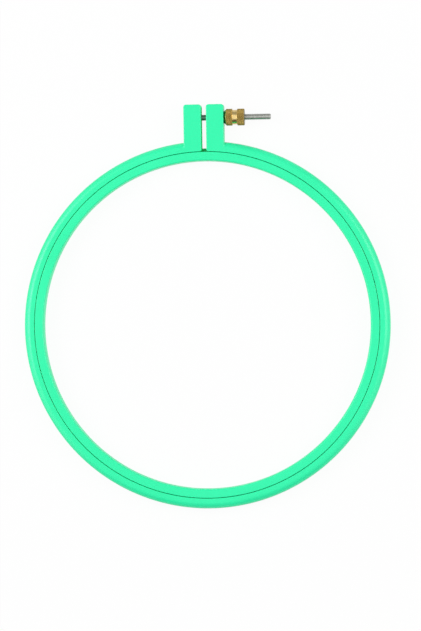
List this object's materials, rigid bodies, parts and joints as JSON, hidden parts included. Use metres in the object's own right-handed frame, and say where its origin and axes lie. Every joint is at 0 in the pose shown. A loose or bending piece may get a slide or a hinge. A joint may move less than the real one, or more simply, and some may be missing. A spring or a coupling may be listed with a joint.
{
  "type": "embroidery hoop",
  "caption": "Round plastic embroidery hoop: an inner ring in a split outer ring, drawn together by a screw and a knurled brass nut.",
  "frame": {"origin": "middle of the underside of the object's box: in the plane of the inner ring's back, 10.75 mm towards the clamp from the rings' common centre", "axes": "+Z out of the hoop's front, square to the rings; +Y from the rings' centre to the clamp; +X along the screw, towards its tip"},
  "size_m": [0.2152, 0.2366, 0.0114],
  "materials": {
    "ring_plastic": "satin",
    "screw_steel": "satin",
    "nut_brass": "satin"
  },
  "bodies": {
    "inner_ring": {"inner_ring": "ring_plastic"},
    "outer_ring_left": {"outer_ring_left": "ring_plastic"},
    "outer_ring_right": {"outer_ring_right": "ring_plastic"},
    "screw": {"screw": "screw_steel"},
    "nut": {"nut": "nut_brass"}
  },
  "joints": [
    {"name": "lift_off", "type": "slide", "parent": "inner_ring", "child": "outer_ring_left", "axis": [0, 0, 1], "range_m": [0, 0.03]},
    {"name": "ring_flex", "type": "hinge", "parent": "outer_ring_left", "child": "outer_ring_right", "pos_m": [0, -0.11835, 0.0065], "axis": [0, 0, -1], "range_deg": [0, 1]},
    {"name": "screw_tilt", "type": "hinge", "parent": "outer_ring_left", "child": "screw", "pos_m": [-0.00515, 0.11065, 0.0065], "axis": [0, 0, -1], "range_deg": [0, 0.75]},
    {"name": "nut_turn", "type": "hinge", "parent": "outer_ring_right", "child": "nut", "pos_m": [0.01785, 0.11065, 0.0065], "axis": [1, 0, 0], "range_deg": [0, 1800]}
  ],
  "couplings": [
    {"joint": "ring_flex", "follows": "nut_turn", "ratio": 0.00055166},
    {"joint": "screw_tilt", "follows": "nut_turn", "ratio": 0.00040823}
  ]
}
